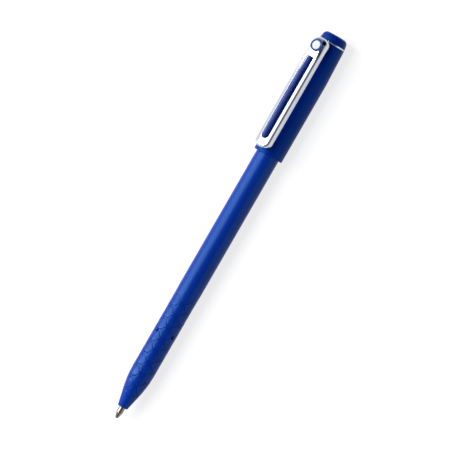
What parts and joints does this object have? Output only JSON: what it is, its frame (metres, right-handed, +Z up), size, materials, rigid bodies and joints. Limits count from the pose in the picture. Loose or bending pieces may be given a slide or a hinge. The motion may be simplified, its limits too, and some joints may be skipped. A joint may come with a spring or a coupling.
{
  "type": "stick ballpoint pen",
  "caption": "Slim round stick ballpoint pen with a honeycomb grip and bare metal tip, its clip cap posted on the rear end of the barrel.",
  "frame": {"origin": "on the surface under the pen, at the middle of its posted length", "axes": "+X along the pen from the tip towards the cap, +Z up, the way the clip faces, +Y across"},
  "size_m": [0.155, 0.011, 0.0145],
  "materials": {
    "barrel_plastic": "satin moulded blue plastic",
    "cap_plastic": "fine matt moulded blue plastic",
    "dome_plastic": "satin moulded blue plastic",
    "chromed_steel": "bright chrome plate on pressed steel",
    "nickel_silver": "turned nickel silver",
    "carbide_ball": "polished hard metal, wet with ink",
    "badge_enamel": "glossy blue enamel",
    "badge_face": "plain glossy white enamel",
    "natural_plastic": "uncoloured moulded plastic",
    "clear_plastic": "clear extruded tube",
    "ink": "blue paste ink",
    "grease": "pale grease"
  },
  "bodies": {
    "pen": {"barrel": "barrel_plastic", "barrel_plug": "barrel_plastic", "tip_holder": "natural_plastic", "refill_tube": "clear_plastic", "ink_column": "ink", "ink_follower": "grease", "writing_tip": "nickel_silver"},
    "ball": {"writing_ball": "carbide_ball"},
    "cap": {"cap_tube": "cap_plastic", "cap_end_plug": "dome_plastic", "clip_collar": "chromed_steel"},
    "clip": {"clip_arm": "chromed_steel", "badge_bezel": "badge_enamel", "badge_inlay": "badge_face"}
  },
  "joints": [
    {"name": "ball_roll", "type": "hinge", "parent": "pen", "child": "ball", "pos_m": [-0.077, 0, 0.0055], "axis": [0, 1, 0], "continuous": true},
    {"name": "cap_pull", "type": "slide", "parent": "pen", "child": "cap", "axis": [1, 0, 0], "range_m": [0, 0.04]},
    {"name": "clip_flex", "type": "hinge", "parent": "cap", "child": "clip", "pos_m": [0.0741, 0, 0.01055], "axis": [0, 1, 0], "range_deg": [0, 3.5], "stiffness_Nm_per_rad": 6}
  ]
}
